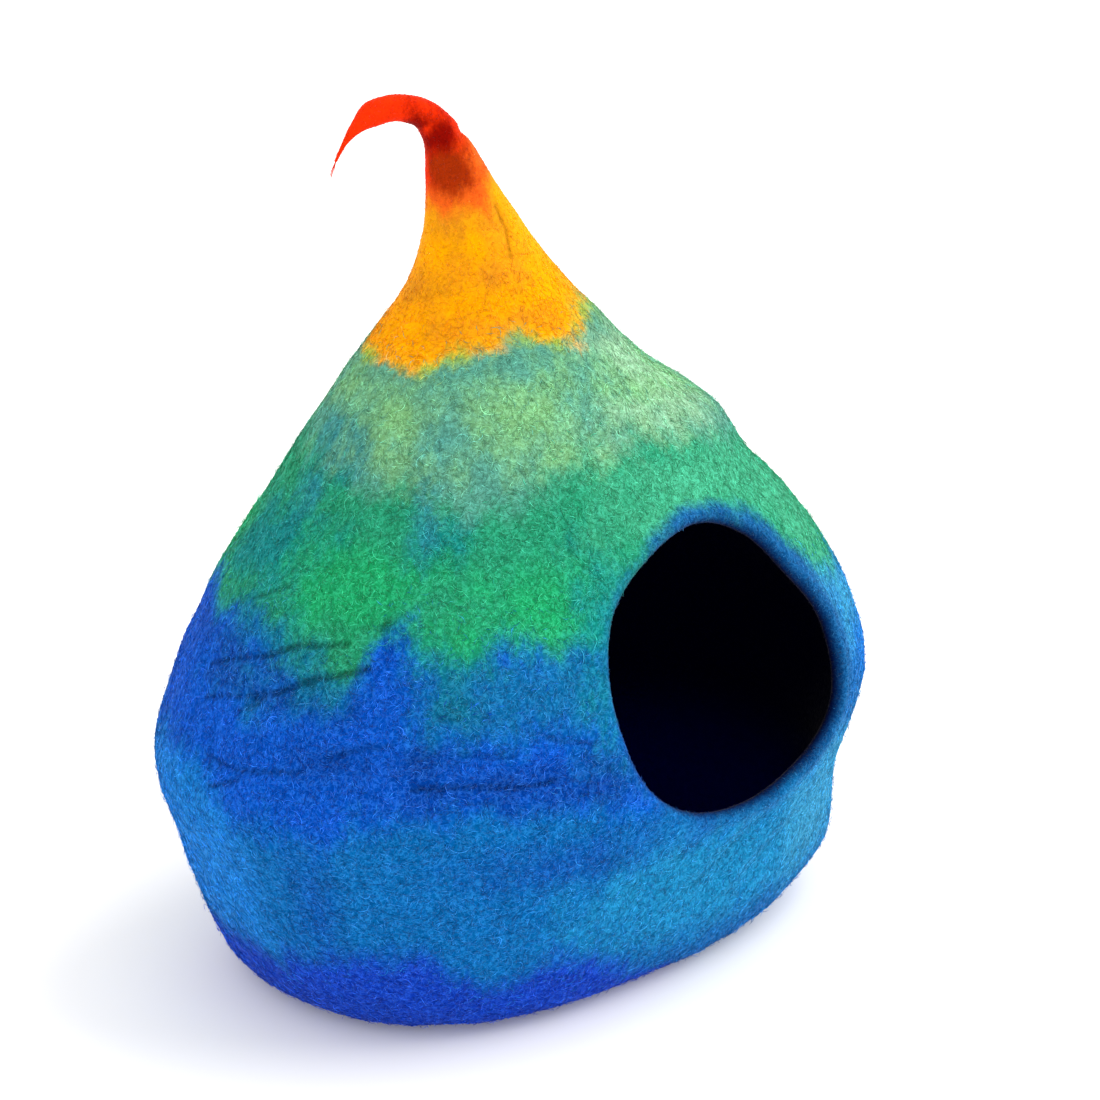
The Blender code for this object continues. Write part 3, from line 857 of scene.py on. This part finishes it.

# %% [markdown]
# ## Loose fibres
#
# The felt's surface is a mat of single fibres, some of them paler than the rest, which is partly a
# painted highlight, and a few stand off it.
# They catch the light, and they make the outline soft. Each one is a slim three-sided spindle, pointed at
# both ends, on a bowed line. The more points the line has, the rounder the bow. All spindles of a piece
# are worked out as one array.

# %% Spindles


def spindle_piece(name, lines, radius, kept):
    """Spindles on lines, an array of points by spindles by xyz. The first and last points are the tips.
    Round each point between them are three corners: the point + radius (cos, sin) in the plane across
    the line."""
    count = lines.shape[1]
    middles, heading = lines[1:-1], lines[2:] - lines[:-2]
    first = np.cross(heading, [0.31, 0.52, 0.79])  # a vector along which no line runs
    first /= np.linalg.norm(first, axis=-1, keepdims=True)
    second = np.cross(heading / np.linalg.norm(heading, axis=-1, keepdims=True), first)
    spin = np.radians([0.0, 120.0, 240.0])[:, None, None, None]
    rings = middles + radius * (first * np.cos(spin) + second * np.sin(spin))
    rings = rings.transpose(1, 0, 2, 3).reshape(-1, count, 3)
    vertices = np.concatenate([lines[:1], rings, lines[-1:]]).transpose(1, 0, 2)
    corners_each = vertices.shape[1]

    last_ring, faces = corners_each - 4, []
    for k in range(3):
        here, beside = 1 + k, 1 + (k + 1) % 3
        faces.append([0, beside, here])
        for up in range(0, last_ring - 1, 3):
            faces += [
                [here + up, beside + up, beside + up + 3],
                [here + up, beside + up + 3, here + up + 3],
            ]
        faces.append([last_ring + k, last_ring + (k + 1) % 3, corners_each - 1])
    faces = (np.array(faces) + corners_each * np.arange(count)[:, None, None]).reshape(-1, 3)
    kept = {key: np.repeat(values, corners_each) for key, values in kept.items()}
    vertices[..., 2] = np.maximum(vertices[..., 2], FLOOR_GAP)
    return add_mesh(name, vertices.reshape(-1, 3) * MM, [faces], kept)


# %% [markdown]
# The roots are spread evenly by area: faces of the felt are drawn by their size, and each root is put at
# a random place in its face. A fibre takes over the face's place in every layer, and so its dye. A few
# strays are dyed as if they lay further outside each layer, because tufts of two colours are never quite
# parted.

# %% Grow the fibres
FLOOR_GAP = 0.3
BARE_FOOT = 3.0  # mm over the floor where no fibre has its root
INTO_DOORWAY = 1.6 * LIP  # and how far over the lip they grow
SHORT_FIBRES = 31000  # in one piece
SHORT_PIECES = 4
CURLED_FIBRES = 1100
STRAYS = 0.07  # share of the fibres
STRAY_DISTANCE = 26.0
STRAY_NAP = 0.9  # no strays where the nap is shorter than this share
FULL_NAP = 70.0  # mm, the half width from which the nap is full
LEAST_NAP = 0.3
RIM_NAP = ((4.0, 20.0), (0.4, 1.0))  # mm from the doorway, and the nap's shares there
STANDING = 0.10  # share of the fibres
STANDING_RISE = (0.6, 2.4)  # mm, lowest and highest
LYING_RISE = (0.15, 0.45)
ROOT_DEPTH = 0.05

quads = np.concatenate([part for part in sheaf.faces if part.shape[1] == 4])
corners = points[quads] / MM
open_air = (places[quads, 2].mean(axis=1) < INTO_DOORWAY) & (corners[..., 2].mean(axis=1) > BARE_FOOT)
quads, corners = quads[open_air], corners[open_air]
face_normals = np.cross(corners[:, 2] - corners[:, 0], corners[:, 3] - corners[:, 1])
face_sizes = np.linalg.norm(face_normals, axis=1)  # twice the area
face_normals /= face_sizes[:, None]

# The slim tail and the doorway's rim were rubbed hardest, and their nap is a share of the body's.
tail_nap = np.clip(station_at(places[:, 1])[:, HALF_WIDTH] / FULL_NAP, LEAST_NAP, 1.0)
nap_length = tail_nap * np.interp(beside_doorway, *RIM_NAP)
print("fibres grow on", len(quads), "faces")


def fibre_piece(name, seed, count, length, bow, steps, radius, shade):
    """Lines root + length t direction + 4 bow t (1 - t) sideways + rise sin(turn t) normal. Half a turn
    lays both tips on the felt, and a quarter leaves one standing. Length, bow and shade are lowest and
    highest values, and most shades are low ones. The bow is a share of the length."""
    rng = np.random.default_rng(seed)
    face = rng.choice(len(quads), count, p=face_sizes / face_sizes.sum())
    u, v = rng.uniform(size=(2, count, 1))
    a, b, c, d = np.moveaxis(corners[face], 1, 0)
    root = (a * (1 - u) + b * u) * (1 - v) + (d * (1 - u) + c * u) * v
    normal = face_normals[face]
    side = np.cross(normal, [0.3, 0.5, 0.81])  # and one that is no face's normal
    side /= np.linalg.norm(side, axis=1, keepdims=True)
    other = np.cross(normal, side)
    turn = rng.uniform(0, 2 * math.pi, (count, 1))
    direction = side * np.cos(turn) + other * np.sin(turn)
    sideways = other * np.cos(turn) - side * np.sin(turn)

    t = np.linspace(0, 1, steps + 1)[:, None, None]
    here = nap_length[quads[face]].mean(axis=1)[:, None]
    standing = rng.uniform(size=(count, 1)) < STANDING * here
    high, low = rng.uniform(*STANDING_RISE, (count, 1)), rng.uniform(*LYING_RISE, (count, 1))
    rise = np.where(standing, high, low) * here
    rise = rise * np.sin(np.where(standing, math.pi / 2, math.pi) * t) - ROOT_DEPTH
    reach = rng.uniform(*length, (count, 1)) * here
    bend = reach * rng.uniform(*bow, (count, 1)) * rng.choice((-1, 1), (count, 1))
    lines = root + direction * reach * t + sideways * bend * 4 * t * (1 - t) + normal * rise

    stray = STRAY_DISTANCE * (rng.uniform(size=count) < STRAYS * (here[:, 0] > STRAY_NAP))
    kept = {key: values[quads[face]].mean(axis=1) - stray for key, values in attributes.items()}
    kept["shade"] = shade[0] + (shade[1] - shade[0]) * rng.uniform(size=count) ** 3
    return spindle_piece(name, lines, radius, kept)


fibres = [
    fibre_piece(
        f"loose_fibres_{k + 1}", seed=30 + k, count=SHORT_FIBRES, length=(3.5, 9.0), bow=(0.0, 0.22),
        steps=2, radius=0.17, shade=(0.85, 2.9),
    )
    for k in range(SHORT_PIECES)
]  # fmt: skip
fibres.append(
    fibre_piece(
        "curled_fibres", seed=40, count=CURLED_FIBRES, length=(6.0, 13.0), bow=(0.2, 0.45),
        steps=7, radius=0.15, shade=(1.6, 3.4),
    )
)  # fmt: skip
print("fibre triangles:", sum(len(piece.data.polygons) for piece in fibres))

# %% [markdown]
# The tail's tip was never rubbed to an end. It runs out in a wisp of a few fibres, which go on in the
# tip's direction and hang down.

# %% The wisp at the tip
WISP_FIBRES = 6
WISP_REACH = 14.0
WISP_ROOT = 3.0  # mm inside the tip
WISP_BEND = np.array([1.0, 0.0, -1.0])  # how far its end hangs off the straight line
WISP_RADIUS = 0.22
WISP_SCATTER = 0.15  # mm between the roots
WISP_SPREAD = 0.06  # and between the directions, as a share of the reach

rng = np.random.default_rng(50)
t = np.linspace(0, 1, 7)[:, None, None]
tip_direction = (tips[1] - tips[0]) / np.linalg.norm(tips[1] - tips[0])
start = tips[1] - WISP_ROOT * tip_direction + FOOT_PLACE + rng.normal(0, WISP_SCATTER, (WISP_FIBRES, 3))
spread = tip_direction + rng.normal(0, WISP_SPREAD, (WISP_FIBRES, 3))
wisp_lines = start + spread * rng.uniform(0.5, 1.0, (WISP_FIBRES, 1)) * WISP_REACH * t
wisp_lines = wisp_lines + WISP_BEND * t**2
wisp_kept = {key: np.full(WISP_FIBRES, values[tail[-1]].mean()) for key, values in attributes.items()}
wisp_kept["shade"] = np.ones(WISP_FIBRES)
fibres.append(spindle_piece("tail_wisp", wisp_lines, WISP_RADIUS, wisp_kept))
print("tip at", [round(x) for x in tips[1] + FOOT_PLACE])

# %% [markdown]
# ## The wool's material
#
# Node maths reads best as ordinary expressions, so one small class wraps a socket and lets +, - and * add
# Math nodes. Everything else comes from its one method, which adds any node.

# %% A socket that can be calculated with


class Wire:
    """An output socket in a material's node tree."""

    def __init__(self, tree, socket=None):
        self.tree, self.socket = tree, socket

    def node(self, kind, settings, values, output=0):
        """Adds a node, makes its settings, and then gives its sockets values or links."""
        made = self.tree.nodes.new(kind)
        for name, value in settings.items():
            setattr(made, name, value)
        for name, value in values.items():
            if isinstance(value, Wire):
                self.tree.links.new(value.socket, made.inputs[name])
            else:
                made.inputs[name].default_value = value
        return Wire(self.tree, made.outputs[output])

    def maths(self, operation, first, second=0.0):
        return self.node("ShaderNodeMath", {"operation": operation}, {0: first, 1: second})

    def __add__(self, other):
        return self.maths("ADD", self, other)

    def __sub__(self, other):
        return self.maths("SUBTRACT", self, other)

    def __rsub__(self, other):
        return self.maths("SUBTRACT", other, self)

    def __mul__(self, other):
        return self.maths("MULTIPLY", self, other)

    __radd__, __rmul__ = __add__, __mul__

    def step(self, low, high):
        """A smooth step from 0 at low to 1 at high."""
        ends = {"Value": self, "From Min": low, "From Max": high}
        return self.node("ShaderNodeMapRange", {"interpolation_type": "SMOOTHSTEP"}, ends)

    def scaled(self, amount):
        """A colour or vector times a number."""
        return self.node("ShaderNodeVectorMath", {"operation": "SCALE"}, {0: self, "Scale": amount})

    def mixed(self, other, factor):
        """This colour where the factor is 0 and the other one where it is 1."""
        values = {"Factor": factor, 6: self, 7: other}
        return self.node("ShaderNodeMix", {"data_type": "RGBA"}, values, output=2)

    def attribute(self, name):
        return self.node("ShaderNodeAttribute", {"attribute_name": name}, {}, output="Fac")

    def noise(self, size, detail=0.0, roughness=0.5, stretch=(1, 1, 1), shift=0.0):
        """Noise about 0, from roughly -1 to 1. Size is in millimetres, and shift in metres."""
        values = {"Vector": self, "Location": (shift, shift, shift), "Scale": stretch}
        placed = self.node("ShaderNodeMapping", {"vector_type": "TEXTURE"}, values)
        values = {"Vector": placed, "Scale": 1 / (size * MM), "Detail": detail, "Roughness": roughness}
        return self.node("ShaderNodeTexNoise", {}, values) * 3.0 - 1.5  # the node gives 0 to 1


def surfaced(name, settings):
    """A new material, and its surface node with the given constants."""
    material = bpy.data.materials.new(name)
    material.use_nodes = True
    surface = material.node_tree.nodes["Principled BSDF"]
    for socket, value in settings.items():
        surface.inputs[socket].default_value = value
    return material, surface


def linear(colour):
    """A display colour, 0 to 255, as the linear light that a shader takes."""
    share = np.array(colour) / 255
    return (*np.where(share <= 0.04045, share / 12.92, ((share + 0.055) / 1.055) ** 2.4), 1.0)


# %% [markdown]
# The layers are mixed one over the other. They share a few pieces of the same noise, stretched upwards,
# because most tufts were laid with their fibres upright. The finer octaves of the noise let single fibres
# of two colours mingle. Then the wool is heathered: no tuft is of one shade, so slow and fine noise make
# it lighter and darker.
#
# The fibres that are too fine to model are drawn as curly lines. A soft noise crosses zero along lines
# that wind in all directions, whichever way the surface faces, and a narrow band about zero is one set of
# them. They are lighter and a little paler than the wool, partly as pale fibres and partly as a painted
# highlight, but not on the orange and red, where pale lines would look like dust. The tail is rubbed
# smoother than the body, so the lines are weaker there.

# %% Felt and fibre materials
NAVY = (0, 4, 100)
# The paler fibres' colour; part of what it adds is a painted highlight.
PALE = (130, 216, 240)
BORDER_SIZE = 24.0  # mm, the scale of the borders' noise
NOISE_FIELDS = 5
CURL_SIZES = (2.0, 2.7, 3.5)  # mm, the scale of each set of curly lines
CURL_BREAKS = 3.6  # mm, the scale of the gaps in them
HEATHER_SIZE, HEATHER = 16.0, 0.10  # mm, and how much lighter and darker it makes the wool
MOTTLE_SIZE, MOTTLE = 2.2, 0.18
LINE_LIGHT = 0.46  # how much lighter the curly lines are
LINE_MEAN = 0.16  # which takes the light back to about that of plain wool
CREASE_PAINTED_SHADE = 0.52  # how much painted shade darkens a crease
# how much painted shade darkens the inside, above the floor
INSIDE_PAINTED_SHADE = 0.85
TAIL_SMOOTH = (0.395, 0.425)  # m, the heights over which the nap gets weaker
PALE_ENDS = (0.380, 0.415)  # m, the heights over which pale fibres come to an end
INSIDE_FADE = (0.0, 9.5)  # mm over the lip, from the dyed wool to navy
INSIDE_DARK = (0.01, 0.10)  # m over the floor, over which painted shade makes the inside nearly black
CREASE_FADE = (0.25, 1.2)  # mm of crease, from none of its painted shade to all


def curly_lines(place):
    """The brightest of some sets of lines. Each line is 1 where its noise is zero and fades on both
    sides, and a second noise breaks it up."""
    best = None
    for number, size in enumerate(CURL_SIZES):
        level = place.noise(size, detail=1.0, roughness=0.4, shift=0.11 * (number + 1))
        broken = place.noise(CURL_BREAKS, shift=0.19 * (number + 1)).step(-0.5, 0.3)
        line = (1.0 - place.maths("ABSOLUTE", level).step(0.03, 0.24)) * broken
        best = line if best is None else place.maths("MAXIMUM", best, line)
    return best


def wool_colour(place):
    """The dyed wool's colour, before its fibres are made lighter or darker."""
    colour = place.node("ShaderNodeRGB", {}, {})
    colour.socket.default_value = linear(LAYERS[0].colour)
    fields = [
        place.noise(
            BORDER_SIZE, detail=5.0, roughness=0.72, stretch=(1, 1, 2.4), shift=0.37 * (number + 1)
        )
        for number in range(NOISE_FIELDS)
    ]
    for number, layer in enumerate(LAYERS[1:]):
        wander = fields[number % NOISE_FIELDS] * layer.ragged
        cover = (place.attribute(layer.name) + wander).step(-layer.soft, layer.soft)
        colour = colour.mixed(linear(layer.colour), cover)
    return colour


def wool_material(name, fibre):
    """Matt wool with a faint sheen. A loose fibre takes its own shade instead of the lines."""
    sheen = {"Sheen Weight": 0.10, "Sheen Roughness": 0.3}
    material, surface = surfaced(name, {"Roughness": 0.95, "Specular IOR Level": 0.02, **sheen})
    tree = material.node_tree
    place = Wire(tree).node("ShaderNodeTexCoord", {}, {}, output="Object")
    colour = wool_colour(place)
    height = place.node("ShaderNodeSeparateXYZ", {}, {"Vector": place}, output="Z")
    nap_strength = 1.0 - 0.6 * height.step(*TAIL_SMOOTH)
    below_orange = 1.0 - height.step(*PALE_ENDS)
    light = 0.90 + HEATHER * place.noise(HEATHER_SIZE, detail=2.0)
    if fibre:
        shade = place.attribute("shade")
        light = light * (1.0 + nap_strength * (shade - 1.0))
        # Bright fibres turn paler, partly as a painted highlight.
        colour = colour.mixed(linear(PALE), below_orange * shade.step(1.2, 2.9) * 0.10)
    else:
        lines = curly_lines(place)
        mottle = place.noise(MOTTLE_SIZE, detail=2.0, roughness=0.6)
        light = light * (1.0 + nap_strength * (MOTTLE * mottle + LINE_LIGHT * lines - LINE_MEAN))
        # The curly lines turn paler, partly as a painted highlight.
        colour = colour.mixed(linear(PALE), below_orange * 0.050 * lines)
        bump = {"Height": 0.5 * mottle + lines, "Distance": 0.3 * MM, "Strength": 0.5}
        tree.links.new(place.node("ShaderNodeBump", {}, bump).socket, surface.inputs["Normal"])
    # Painted shade: the wool is darker in the creases.
    crease = place.attribute("crease") + 0.2 * place.noise(5.0, detail=2.0)
    light = light * (1.0 - CREASE_PAINTED_SHADE * crease.step(*CREASE_FADE))
    colour = colour.scaled(light)
    inside = place.attribute("depth_inside").step(*INSIDE_FADE)
    colour = colour.mixed(linear(NAVY), inside)
    # Painted shade: the inside is darkened to nearly black above the floor.
    colour = colour.scaled(1.0 - INSIDE_PAINTED_SHADE * inside * height.step(*INSIDE_DARK))
    tree.links.new(colour.socket, surface.inputs["Base Color"])
    return material


felt.data.materials.append(wool_material("dyed_wool_felt", fibre=False))
fibre_wool = wool_material("loose_wool_fibre", fibre=True)
for piece in fibres:
    piece.data.materials.append(fibre_wool)

# %% [markdown]
# ## Put the pieces on the frame's root body, in place of its solid
#
# The felt stands for the CAD solid, and the fibres go with it. The felt is one sheet: the wool was laid
# over both faces of a flat drop about 70 cm wide and 85 cm high, and pulled over a round shape
# afterwards.

for piece in (felt, *fibres):
    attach(piece, "root")
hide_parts("felt_cave")

# %% [markdown]
# ## The studio
#
# The cave stands on a plain white floor in soft light from all sides. A wide sun at the upper right gives
# it shape and lights the floor evenly, as far as the camera sees. The floor also glows faintly, which is
# painted light that lightens the shadows on it.

# %% Floor and lights
FLOOR_HALF = 12.0
# The floor's glow is painted light, which lightens the shadows on the floor.
FLOOR_GLOW = 0.09
WORLD_LIGHT = 1.1
SUN_LIGHT = 1.9
SUN_BREADTH = 55.0  # degrees across

corner = FLOOR_HALF * np.array([(-1, -1, 0), (1, -1, 0), (1, 1, 0), (-1, 1, 0)])
floor = add_mesh("floor", corner, [np.array([[0, 1, 2, 3]])], {})
settings = {
    "Base Color": (0.95, 0.94, 0.92, 1),
    "Emission Color": (1, 0.98, 0.92, 1),
    "Emission Strength": FLOOR_GLOW,
    "Roughness": 0.9,
    "Specular IOR Level": 0.0,
}
floor_paint, _ = surfaced("white_floor", settings)
floor.data.materials.append(floor_paint)

world = bpy.data.worlds.new("studio")
world.use_nodes = True
world.node_tree.nodes["Background"].inputs["Color"].default_value = (1, 1, 1, 1)
world.node_tree.nodes["Background"].inputs["Strength"].default_value = WORLD_LIGHT
bpy.context.scene.world = world

sun = bpy.data.objects.new("sun", bpy.data.lights.new("sun", "SUN"))
bpy.context.scene.collection.objects.link(sun)
sun.data.energy = SUN_LIGHT
sun.data.angle = math.radians(SUN_BREADTH)
sun.location = from_target(azimuth=65, elevation=42, distance=3.0)
aim(sun)
bpy.context.scene.view_settings.view_transform = "Standard"
print("world light", WORLD_LIGHT)
